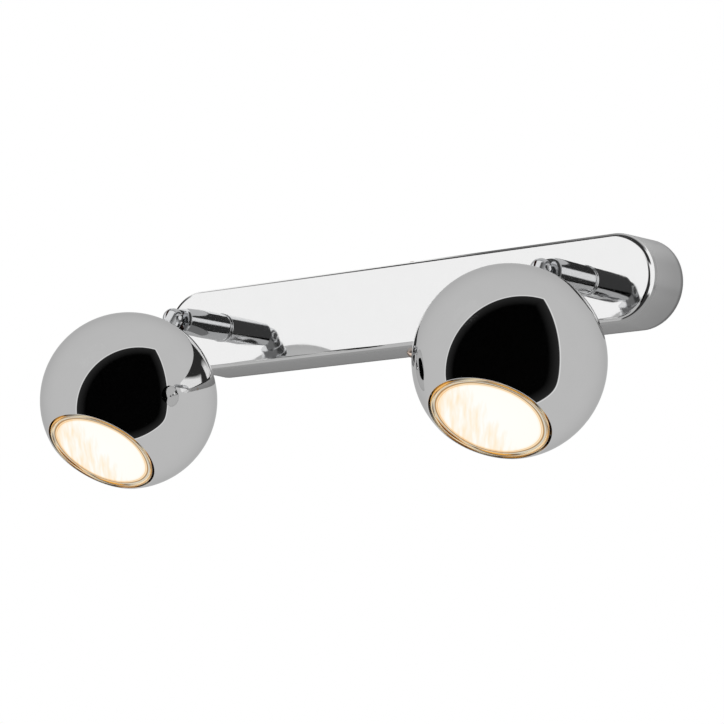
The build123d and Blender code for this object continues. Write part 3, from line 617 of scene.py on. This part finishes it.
# Ball shells: each head is a ball spun from sheet, with a flat for the neck's collar and a round mouth.
# The shell is polished and chromed, and its cut edge at the mouth is rounded over.
BALL_DIAMETER = 80.0
BALL_SHEET = 1.2
MOUTH_RADIUS = 25.7
POLE_FLAT_RADIUS = 6.6
POLE_HOLE_RADIUS = 4.2
MOUTH_LIP_RADIUS = 0.35
MOUTH_LIP_STEPS = 8
BALL_STEPS = 96

# Chrome over nickel on spun sheet: a clear mirror with hardly any haze, a little darker towards its outline.
ball_chrome = make_finish(
    "chromed_spun_sheet",
    light="ececec",
    dark="e8e8e8",
    grain=8.0,
    roughness=(0.01, 0.03),
    relief=0.0,
    Metallic=1.0,
    Specular_Tint=(0.8, 0.8, 0.8, 1.0),
)
ball_radius = BALL_DIAMETER / 2
inner_radius = ball_radius - BALL_SHEET
lip_reach = ball_radius - MOUTH_LIP_RADIUS
ball_height = NECK_LENGTH + math.sqrt(ball_radius**2 - POLE_FLAT_RADIUS**2)
inner_pole = NECK_LENGTH + BALL_SHEET
mouth_angle = math.degrees(math.acos((MOUTH_RADIUS + MOUTH_LIP_RADIUS) / lip_reach))
lip_turn = math.radians(mouth_angle)
lip_middle = (lip_reach * math.cos(lip_turn), ball_height + lip_reach * math.sin(lip_turn))
pole_angle = math.degrees(math.acos(POLE_FLAT_RADIUS / ball_radius))
inner_mouth_angle = math.degrees(math.acos(MOUTH_RADIUS / inner_radius))
inner_pole_angle = math.degrees(math.asin((ball_height - inner_pole) / inner_radius))
shell_profile = [
    (POLE_HOLE_RADIUS, NECK_LENGTH),
    *arc((0, ball_height), ball_radius, -pole_angle, mouth_angle, BALL_STEPS),
    *arc(lip_middle, MOUTH_LIP_RADIUS, mouth_angle, 180, MOUTH_LIP_STEPS),
    *arc((0, ball_height), inner_radius, inner_mouth_angle, -inner_pole_angle, BALL_STEPS // 2),
    (POLE_HOLE_RADIUS, inner_pole),
    (POLE_HOLE_RADIUS, NECK_LENGTH),
]
for hand in HANDS:
    shell = bmesh.new()
    turn(shell, shell_profile)
    add_piece(
        f"{hand}_ball_chromed",
        shell,
        place_head(hand),
        ball_chrome,
        f"{hand}_head",
        "chrome_head",
        f"{hand}_ball_shell",
    )

# Inside each ball: a washer and a nut on the neck's spigot clamp a bent bracket that carries the lamp holder.
# The holder is pressed ceramic on two small screws; all the metal is zinc plated.

# Steatite, pressed and fired: matt off-white ceramic with faint specks.
steatite = make_finish(
    "fired_steatite", light="efece2", dark="d9d4c6", grain=0.7, roughness=(0.6, 0.75), relief=0.015
)
INNER_STEEL = ("neck_washer", "neck_nut", "holder_bracket", "holder_screws")
for hand in HANDS:
    dress(zinc_plate, *(f"{hand}_{n}" for n in INNER_STEEL))
    dress(steatite, f"{hand}_lamp_holder", f"{hand}_lamp_base")

# Lamps: a pressed glass bowl on a ceramic base with two pins, a quartz capsule inside and a glass front.
# The bowl is coated inside, so its rim glows amber round the lit front glass.
LAMP_RADIUS = 25.0
LAMP_RIM_HEIGHT = 5.0
LAMP_FRONT = 80.35
LAMP_BASE_TOP = 47.35
LAMP_NECK_RADIUS = 10.5
LAMP_BELLY_DEPTH = 18.0
LAMP_BELLY_RADIUS = 21.0
LAMP_GLASS = 2.0
LAMP_RIM_WIDTH = 1.4
LAMP_RIM_STEPS = 12
LENS_RADIUS = 23.5
LENS_THICKNESS = 2.4
LENS_EDGE_DROP = 0.7
GLASS_STEPS = 24

# Clear quartz: hard bright glass, drawn a little uneven.
quartz = make_finish(
    "drawn_quartz",
    light="f6f8f8",
    dark="eceff0",
    grain=1.2,
    roughness=(0.03, 0.08),
    relief=0.002,
    Transmission_Weight=1.0,
    IOR=1.46,
)

# Pressed glass with a thin mirror coating: long bands of straw, amber, grey and dark brown round its rim, partly
# the lamp's light leaking round it and partly painted glints and painted shade.
RIM_BAND_LENGTH = 30.0
RIM_BAND_WIDTH = 0.45
RIM_BAND_DETAIL = 1.0
RIM_GLOW = 0.3
RIM_GLOW_AND_PAINTED_GLINT_COLOURS = (
    (0.36, "24160c"),
    (0.43, "d48c30"),
    (0.48, "f6e2ba"),
    (0.54, "a8a294"),
    (0.6, "4a3420"),
    (0.66, "eaac4c"),
)


def ring_bands(tree, length, width):
    """Socket with a noise drawn out round the lamp's axis, and one with the distance from that axis."""
    own_place = add_node(tree, "ShaderNodeAttribute", attribute_name="own_place")
    flat = add_node(
        tree, "ShaderNodeVectorMath", {0: own_place.outputs["Vector"], 1: (1, 1, 0)}, operation="MULTIPLY"
    )
    reach = add_node(tree, "ShaderNodeVectorMath", {0: flat.outputs[0]}, operation="LENGTH")
    way = add_node(tree, "ShaderNodeVectorMath", {0: flat.outputs[0]}, operation="NORMALIZE")
    around = add_node(
        tree,
        "ShaderNodeVectorMath",
        {0: way.outputs[0], 1: [LAMP_RADIUS / length] * 3},
        operation="MULTIPLY",
    )
    across = add_node(
        tree, "ShaderNodeMath", {0: reach.outputs["Value"], 1: width * MM}, operation="DIVIDE"
    )
    lift = add_node(tree, "ShaderNodeCombineXYZ", {"Z": across.outputs[0]})
    spread = add_node(
        tree, "ShaderNodeVectorMath", {0: around.outputs[0], 1: lift.outputs[0]}, operation="ADD"
    )
    noise = add_node(
        tree,
        "ShaderNodeTexNoise",
        {"Vector": spread.outputs[0], "Scale": 1.0, "Detail": RIM_BAND_DETAIL},
    )
    return noise.outputs["Fac"], reach.outputs["Value"]


def colour_ramp(tree, share, stops):
    """Socket with the colour that a share has on a ramp of positions and linear colours."""
    ramp = add_node(tree, "ShaderNodeValToRGB", {"Fac": share})
    for position, colour in stops[1:-1]:
        ramp.color_ramp.elements.new(position).color = colour
    for end in (0, -1):
        ramp.color_ramp.elements[end].position, ramp.color_ramp.elements[end].color = stops[end]
    return ramp.outputs["Color"]


coated_glass = make_finish(
    "coated_pressed_glass",
    light="efe9da",
    dark="c9954e",
    grain=5.0,
    roughness=(0.06, 0.16),
    relief=0.01,
    Coat_Weight=0.6,
    Emission_Strength=RIM_GLOW,
)
tree = coated_glass.node_tree
shader = tree.nodes["Principled BSDF"]
bands = ring_bands(tree, RIM_BAND_LENGTH, RIM_BAND_WIDTH)[0]
# Painted glints and painted shade: the ramp's bright and dark bands, also given off as a faint glow.
rim_glow_and_painted_glints = colour_ramp(tree, bands, [(share, linear(colour)) for share, colour in RIM_GLOW_AND_PAINTED_GLINT_COLOURS])
tree.links.new(rim_glow_and_painted_glints, shader.inputs["Base Color"])
tree.links.new(rim_glow_and_painted_glints, shader.inputs["Emission Color"])

# Lit front glass: warm white, with pale orange streaks where the bowl's facets show behind it.
# Towards its edge the glass goes through amber and straw rings, where it is thick and not lit from behind.
STREAK_WIDTH = 2.2
STREAK_LENGTH = 16.0
STREAK_LEAN = math.radians(-31.8)
STREAK_PATCH = (-6.0, 16.0)
STREAK_SHARES = (0.34, 0.72)
STREAK_DETAIL = 2.0
STREAK_COLOUR = "ffeacf"
CLEAR_COLOUR = "ffffff"
FRONT_GLOW = 1.0
GLASS_WAVE = 0.9
GLASS_RINGS = (
    (0.0, "fffefa"),
    (20.3, "fffdf7"),
    (21.2, "fff4e0"),
    (21.5, "eebd7a"),
    (21.8, "fff0d4"),
    (22.2, "d2a468"),
    (22.5, "86623a"),
    (22.8, "cdc5b2"),
    (23.2, "dcd7c9"),
    (23.5, "a2937a"),
)
lit_glass = make_finish(
    "lit_front_glass",
    light="2c281f",
    dark="25221b",
    grain=2.0,
    roughness=(0.1, 0.16),
    relief=0.0,
    Coat_Weight=0.2,
    Emission_Strength=FRONT_GLOW,
)
tree = lit_glass.node_tree
shader = tree.nodes["Principled BSDF"]
own_place = add_node(tree, "ShaderNodeAttribute", attribute_name="own_place")
stretched = add_node(
    tree,
    "ShaderNodeMapping",
    {
        "Vector": own_place.outputs["Vector"],
        "Rotation": (0, 0, STREAK_LEAN),
        "Scale": (STREAK_WIDTH * MM, STREAK_LENGTH * MM, 1.0),
    },
    vector_type="TEXTURE",
)
streak = add_node(
    tree,
    "ShaderNodeTexNoise",
    {"Vector": stretched.outputs["Vector"], "Scale": 1.0, "Detail": STREAK_DETAIL},
)
across = add_node(tree, "ShaderNodeSeparateXYZ", {"Vector": own_place.outputs["Vector"]})
patch = add_node(
    tree,
    "ShaderNodeMapRange",
    {"Value": across.outputs["X"], "From Min": STREAK_PATCH[1] * MM, "From Max": STREAK_PATCH[0] * MM},
)
streak_in_patch = add_node(
    tree, "ShaderNodeMath", {0: streak.outputs["Fac"], 1: patch.outputs["Result"]}, operation="MULTIPLY"
)
streak_share = add_node(
    tree,
    "ShaderNodeMapRange",
    {"Value": streak_in_patch.outputs[0], "From Min": STREAK_SHARES[0], "From Max": STREAK_SHARES[1]},
)
orange = add_node(
    tree,
    "ShaderNodeMix",
    {0: streak_share.outputs["Result"], 6: linear(CLEAR_COLOUR), 7: linear(STREAK_COLOUR)},
    data_type="RGBA",
)
bands, reach = ring_bands(tree, RIM_BAND_LENGTH, LENS_RADIUS)
wave = add_node(
    tree,
    "ShaderNodeMapRange",
    {"Value": bands, "To Min": -GLASS_WAVE * MM, "To Max": GLASS_WAVE * MM},
)
waved_reach = add_node(tree, "ShaderNodeMath", {0: reach, 1: wave.outputs["Result"]}, operation="ADD")
ring_share = add_node(
    tree, "ShaderNodeMapRange", {"Value": waved_reach.outputs[0], "From Max": LENS_RADIUS * MM}
)
ring_colour = colour_ramp(
    tree,
    ring_share.outputs["Result"],
    [(radius / LENS_RADIUS, linear(colour)) for radius, colour in GLASS_RINGS],
)
glow = add_node(
    tree,
    "ShaderNodeMix",
    {0: 1.0, 6: ring_colour, 7: orange.outputs[2]},
    data_type="RGBA",
    blend_type="MULTIPLY",
)
tree.links.new(glow.outputs[2], shader.inputs["Emission Color"])


def arc_through(first, second, third, steps):
    """Points along the arc through three points of a profile."""
    (ax, ay), (bx, by), (cx, cy) = first, second, third
    twice = 2 * (ax * (by - cy) + bx * (cy - ay) + cx * (ay - by))
    a2, b2, c2 = ax**2 + ay**2, bx**2 + by**2, cx**2 + cy**2
    x = (a2 * (by - cy) + b2 * (cy - ay) + c2 * (ay - by)) / twice
    y = (a2 * (cx - bx) + b2 * (ax - cx) + c2 * (bx - ax)) / twice
    start = math.degrees(math.atan2(ay - y, ax - x))
    end = math.degrees(math.atan2(cy - y, cx - x))
    return arc((x, y), math.hypot(ax - x, ay - y), start, end, steps)


bowl_rim = LAMP_FRONT - LAMP_RIM_HEIGHT
belly = LAMP_FRONT - LAMP_BELLY_DEPTH
lens_back = LAMP_FRONT - LENS_THICKNESS
rim_bead = LAMP_RIM_WIDTH / 2
bowl_profile = [
    (LAMP_NECK_RADIUS - LAMP_GLASS, LAMP_BASE_TOP),
    *arc_through(
        (LAMP_NECK_RADIUS, LAMP_BASE_TOP),
        (LAMP_BELLY_RADIUS, belly),
        (LAMP_RADIUS, bowl_rim),
        GLASS_STEPS,
    ),
    *arc((LAMP_RADIUS - rim_bead, LAMP_FRONT - rim_bead), rim_bead, 0, 180, LAMP_RIM_STEPS),
    (LAMP_RADIUS - LAMP_RIM_WIDTH, lens_back),
    (LENS_RADIUS - LAMP_GLASS, lens_back),
    *arc_through(
        (LENS_RADIUS - LAMP_GLASS, bowl_rim),
        (LAMP_BELLY_RADIUS - LAMP_GLASS, belly),
        (LAMP_NECK_RADIUS - LAMP_GLASS, LAMP_BASE_TOP),
        GLASS_STEPS,
    ),
]
lens_profile = [
    (0, lens_back),
    (LENS_RADIUS, lens_back),
    *dome(LENS_RADIUS, LENS_EDGE_DROP, LAMP_FRONT, GLASS_STEPS),
]
for hand in HANDS:
    dress(zinc_plate, f"{hand}_lamp_pins")
    dress(quartz, f"{hand}_lamp_capsule")
    bowl = bmesh.new()
    turn(bowl, bowl_profile)
    add_piece(
        f"{hand}_lamp_bowl",
        bowl,
        place_head(hand),
        coated_glass,
        f"{hand}_head",
        "lamp_glass",
        f"{hand}_lamp_reflector",
    )
    lens = bmesh.new()
    turn(lens, lens_profile)
    add_piece(
        f"{hand}_lamp_front",
        lens,
        place_head(hand),
        lit_glass,
        f"{hand}_head",
        "lamp_lens",
        f"{hand}_lamp_lens",
    )

# Studio: round cloths about the light, open towards the camera, where the dark room shows in the chrome.
# Each cloth is seen in the mirrors of some pieces only, as when each piece is lit by itself.
# A side of an opening or a card is a direction and how far towards it the opening or card begins.
TENT_MIDDLE = Vector((0, -0.09, -0.04))
TENT_RADIUS = 0.65
TENT_STEP = 0.01
CLOTH_FACETS = 5
SHARP_CORNER = 0.01
ROUND_CORNER = 0.16
WHITE = (1, 1, 1, 1)
OPENING_SIDES = {
    "left": (
        ((0.773, -0.538, -0.336), 0.018),
        ((-0.167, -0.985, -0.053), -0.163),
        ((0.382, -0.842, 0.381), 0.089),
    ),
    "right": (
        ((0.699, -0.593, -0.4), 0.053),
        ((-0.369, -0.928, -0.049), -0.375),
        ((0.401, -0.849, 0.345), 0.13),
    ),
}


def add_stage(name, make):
    """Add a mesh that is part of the studio and not of the light."""
    shape = bmesh.new()
    make(shape)
    mesh = bpy.data.meshes.new(name)
    shape.to_mesh(mesh)
    shape.free()
    thing = bpy.data.objects.new(name, mesh)
    bpy.context.scene.collection.objects.link(thing)
    return thing


def hang_round(name, layer, facets, finish):
    """Hang a round cloth about the light, where only mirrors show it."""
    radius = TENT_RADIUS + layer * TENT_STEP
    cloth = add_stage(
        name, lambda shape: bmesh.ops.create_icosphere(shape, subdivisions=facets, radius=radius)
    )
    cloth.location = TENT_MIDDLE
    cloth.data.materials.append(finish)
    cloth.visible_camera = False
    cloth.visible_diffuse = False
    cloth.visible_shadow = False
    return cloth


def add_cloth(name, layer, state, *pieces):
    """A round cloth that glows in the mirrors of the included pieces, or of all but the excluded ones."""
    finish = bpy.data.materials.new(name)
    finish.use_nodes = True
    tree = finish.node_tree
    tree.nodes.remove(tree.nodes["Principled BSDF"])
    glow = add_node(tree, "ShaderNodeEmission", {"Color": WHITE})
    clear = add_node(tree, "ShaderNodeBsdfTransparent")
    both = add_node(tree, "ShaderNodeAddShader", {0: glow.outputs[0], 1: clear.outputs[0]})
    tree.links.new(both.outputs[0], tree.nodes["Material Output"].inputs["Surface"])
    cloth = hang_round(name, layer, CLOTH_FACETS, finish)
    receivers = bpy.data.collections.new(f"{name}_receivers")
    for piece in pieces:
        receivers.objects.link(bpy.data.objects[piece])
    for member in receivers.collection_objects:
        member.light_linking.link_state = state
    cloth.light_linking.receiver_collection = receivers
    return tree, glow


def depth_inside(tree, sides, last_corner):
    """Socket with how far a direction lies inside some sides; the last one meets the rest in round corners."""
    place = add_node(tree, "ShaderNodeTexCoord")
    way = add_node(tree, "ShaderNodeVectorMath", {0: place.outputs["Object"]}, operation="NORMALIZE")
    least = None
    for normal, limit in sides:
        rounding = last_corner if (normal, limit) == sides[-1] else SHARP_CORNER
        reach = add_node(
            tree, "ShaderNodeVectorMath", {0: way.outputs[0], 1: normal}, operation="DOT_PRODUCT"
        )
        over = add_node(tree, "ShaderNodeMath", {0: reach.outputs["Value"], 1: limit}, operation="SUBTRACT")
        if least is None:
            least = over
        else:
            pair = {0: least.outputs[0], 1: over.outputs[0], 2: rounding}
            least = add_node(tree, "ShaderNodeMath", pair, operation="SMOOTH_MIN")
    return least.outputs[0]


def brightest_panel(tree, panels):
    """Socket with the light of the brightest of some panels, each with a level, a soft edge and its sides."""
    most = None
    for level, soft, sides in panels:
        panel = add_node(
            tree,
            "ShaderNodeMapRange",
            {
                "Value": depth_inside(tree, sides, SHARP_CORNER),
                "From Min": -soft / 2,
                "From Max": soft / 2,
                "To Max": level,
            },
        )
        if most is None:
            most = panel
        else:
            pair = {0: most.outputs[0], 1: panel.outputs[0]}
            most = add_node(tree, "ShaderNodeMath", pair, operation="MAXIMUM")
    return most.outputs[0]


# Cloths for the balls: an even grey with a bright seam round the opening; a little light strays into the room.
BALL_GREY = 0.58
SEAM_LIGHT = 0.85
ROOM_LIGHT = 0.022
CLOTH_EDGES = (
    (-0.03, BALL_GREY),
    (-0.022, SEAM_LIGHT),
    (-0.013, SEAM_LIGHT),
    (0.0, ROOM_LIGHT),
    (0.2, 0.0),
)
first, last = CLOTH_EDGES[0][0], CLOTH_EDGES[-1][0]
cloth_stops = [((reach - first) / (last - first), (level, level, level, 1)) for reach, level in CLOTH_EDGES]
for layer, hand in enumerate(HANDS):
    tree, glow = add_cloth(f"{hand}_grey_cloth", layer, "INCLUDE", f"{hand}_ball_chromed")
    depth = depth_inside(tree, OPENING_SIDES[hand], ROUND_CORNER)
    edge = add_node(tree, "ShaderNodeMapRange", {"Value": depth, "From Min": first, "From Max": last})
    tree.links.new(colour_ramp(tree, edge.outputs["Result"], cloth_stops), glow.inputs["Color"])

# Cloth for the stems, knuckles and screws: white in front, with the right ball's opening, and greys behind.
WHITE_CLOTH_LAYER = 2
WHITE_CLOTH_LIGHT = 0.93
WHITE_CLOTH_EDGE = 0.06
RIGHT, LEFT = (1, 0, 0), (-1, 0, 0)
UP, DOWN = (0, 0, 1), (0, 0, -1)
OUT, BACK = (0, -1, 0), (0, 1, 0)
IN_FRONT = (OUT, 0.0)
BEHIND = (BACK, 0.0)
EVERYWHERE = (UP, -2.0)
beside_opening = [(tuple(-v for v in normal), -limit) for normal, limit in OPENING_SIDES["right"]]
JOINT_PANELS = (
    *((WHITE_CLOTH_LIGHT, WHITE_CLOTH_EDGE, (side, IN_FRONT)) for side in beside_opening),
    (0.55, 0.5, (BEHIND, (UP, 0.25))),
    (0.36, 0.3, (BEHIND, (UP, -0.15))),
    (0.18, 0.2, (BEHIND,)),
    (0.05, 0.06, (EVERYWHERE,)),
)
tree, glow = add_cloth(
    "white_cloth",
    WHITE_CLOTH_LAYER,
    "EXCLUDE",
    "left_ball_chromed",
    "right_ball_chromed",
    "cover_pan_chromed",
)
tree.links.new(brightest_panel(tree, JOINT_PANELS), glow.inputs["Strength"])

# Cards for the cover: white ones in front, at the left, above and at the right, and beside its right end.
# One more stands behind it, high on the left.
# Greys stand at the left, high and low, and behind, and the rest is nearly dark.
COVER_CARDS_LAYER = 3
CARD_WHITE = 0.95
COVER_PANELS = (
    (CARD_WHITE, 0.04, ((LEFT, 0.3), (RIGHT, -0.8), (DOWN, -0.72), (UP, -0.04), IN_FRONT)),
    (CARD_WHITE, 0.04, ((LEFT, -0.05), (RIGHT, -0.4), (DOWN, -0.5), (UP, 0.32), (OUT, 0.875))),
    (CARD_WHITE, 0.06, (((0.81, 0, 0.583), 0.53), (DOWN, -0.42), (UP, -0.04), IN_FRONT)),
    (CARD_WHITE, 0.08, ((RIGHT, 0.76), (DOWN, 0.0), (UP, -0.38), IN_FRONT)),
    (CARD_WHITE, 0.1, ((RIGHT, 0.3), (BACK, -0.3), (OUT, -0.6), (UP, -0.42), (DOWN, -0.77))),
    (CARD_WHITE, 0.06, ((BACK, 0.12), (LEFT, 0.45), (RIGHT, -0.8), (UP, 0.25))),
    (0.45, 0.2, ((LEFT, 0.62), (RIGHT, -0.85), (UP, 0.55))),
    (0.5, 0.1, ((LEFT, 0.15), (DOWN, 0.1), (OUT, -0.2))),
    (0.52, 0.5, (BEHIND, (UP, 0.35), (RIGHT, -0.3))),
    (0.34, 0.3, (BEHIND, (UP, -0.15), (RIGHT, -0.3))),
    (0.31, 0.2, (BEHIND, (DOWN, 0.05))),
    (0.03, 0.06, (EVERYWHERE,)),
)
tree, glow = add_cloth("cover_cards", COVER_CARDS_LAYER, "INCLUDE", "cover_pan_chromed")
tree.links.new(brightest_panel(tree, COVER_PANELS), glow.inputs["Strength"])

# Dark room outside the cloths: black felt that swallows the light, seen in mirrors only.
ROOM_LAYER = 5
ROOM_FACETS = 4
dark_felt = make_finish(
    "dark_room_felt",
    light="050505",
    dark="030303",
    grain=20.0,
    roughness=(0.9, 1.0),
    relief=0.0,
    Specular_IOR_Level=0.0,
)
hang_round("dark_room", ROOM_LAYER, ROOM_FACETS, dark_felt)

# Floor: a plain pale sheet of matt card well below the light.
FLOOR_DROP = 0.9
FLOOR_HALF = 4.0
floor_sheet = make_finish(
    "pale_floor", light="f4f4f2", dark="f0f0ee", grain=40.0, roughness=(0.7, 0.8), relief=0.1
)
floor = add_stage(
    "floor", lambda shape: bmesh.ops.create_grid(shape, x_segments=1, y_segments=1, size=FLOOR_HALF)
)
floor.location = (0, 0, -FLOOR_DROP)
floor.data.materials.append(floor_sheet)

# Soft lamp from above the camera's left, and a white surround.
SOFT_LAMP_SIZE = 1.2
SOFT_LAMP_POWER = 12.0
SOFT_LAMP_PLACE = (-0.8, -1.4, 1.6)
SURROUND = 0.8
SURROUND_SEEN = 1.0
lamp = bpy.data.objects.new("soft_lamp", bpy.data.lights.new("soft_lamp", "AREA"))
lamp.data.shape = "DISK"
lamp.data.size = SOFT_LAMP_SIZE
lamp.data.energy = SOFT_LAMP_POWER
lamp.location = SOFT_LAMP_PLACE
lamp.rotation_mode = "QUATERNION"
lamp.rotation_quaternion = (TENT_MIDDLE - lamp.location).to_track_quat("-Z", "Y")
bpy.context.scene.collection.objects.link(lamp)

world = bpy.data.worlds.new("white_surround")
bpy.context.scene.world = world
world.use_nodes = True
tree = world.node_tree
seen = add_node(tree, "ShaderNodeLightPath")
mirrored = add_node(
    tree,
    "ShaderNodeMath",
    {0: seen.outputs["Is Glossy Ray"], 1: seen.outputs["Is Transmission Ray"]},
    operation="MAXIMUM",
)
direct = add_node(
    tree, "ShaderNodeMath", {0: seen.outputs["Is Camera Ray"], 1: mirrored.outputs[0]}, operation="MAXIMUM"
)
strength = add_node(
    tree,
    "ShaderNodeMapRange",
    {"Value": direct.outputs[0], "To Min": SURROUND, "To Max": SURROUND_SEEN},
)
tree.links.new(strength.outputs["Result"], tree.nodes["Background"].inputs["Strength"])
tree.nodes["Background"].inputs["Color"].default_value = WHITE
bpy.context.scene.view_settings.view_transform = "Standard"

# Camera: a long lens, a little below the bar and to its right.
CAMERA_PLACE = Vector((0.6582, -0.9718, -0.1917))
CAMERA_AHEAD = Vector((-0.5757, 0.8052, 0.1426)).normalized()
CAMERA_UP = Vector((0.0934, -0.1085, 0.9897))
CAMERA_LENS = 128.4
CAMERA_SENSOR = 36.0
CAMERA_NEAR, CAMERA_FAR = 0.05, 20.0
camera = bpy.data.objects.new("camera", bpy.data.cameras.new("camera"))
camera.data.lens = CAMERA_LENS
camera.data.sensor_width = CAMERA_SENSOR
camera.data.clip_start = CAMERA_NEAR
camera.data.clip_end = CAMERA_FAR
camera_right = CAMERA_AHEAD.cross(CAMERA_UP).normalized()
camera.matrix_world = place_on(CAMERA_PLACE, camera_right, -CAMERA_AHEAD)
bpy.context.scene.collection.objects.link(camera)
bpy.context.scene.camera = camera
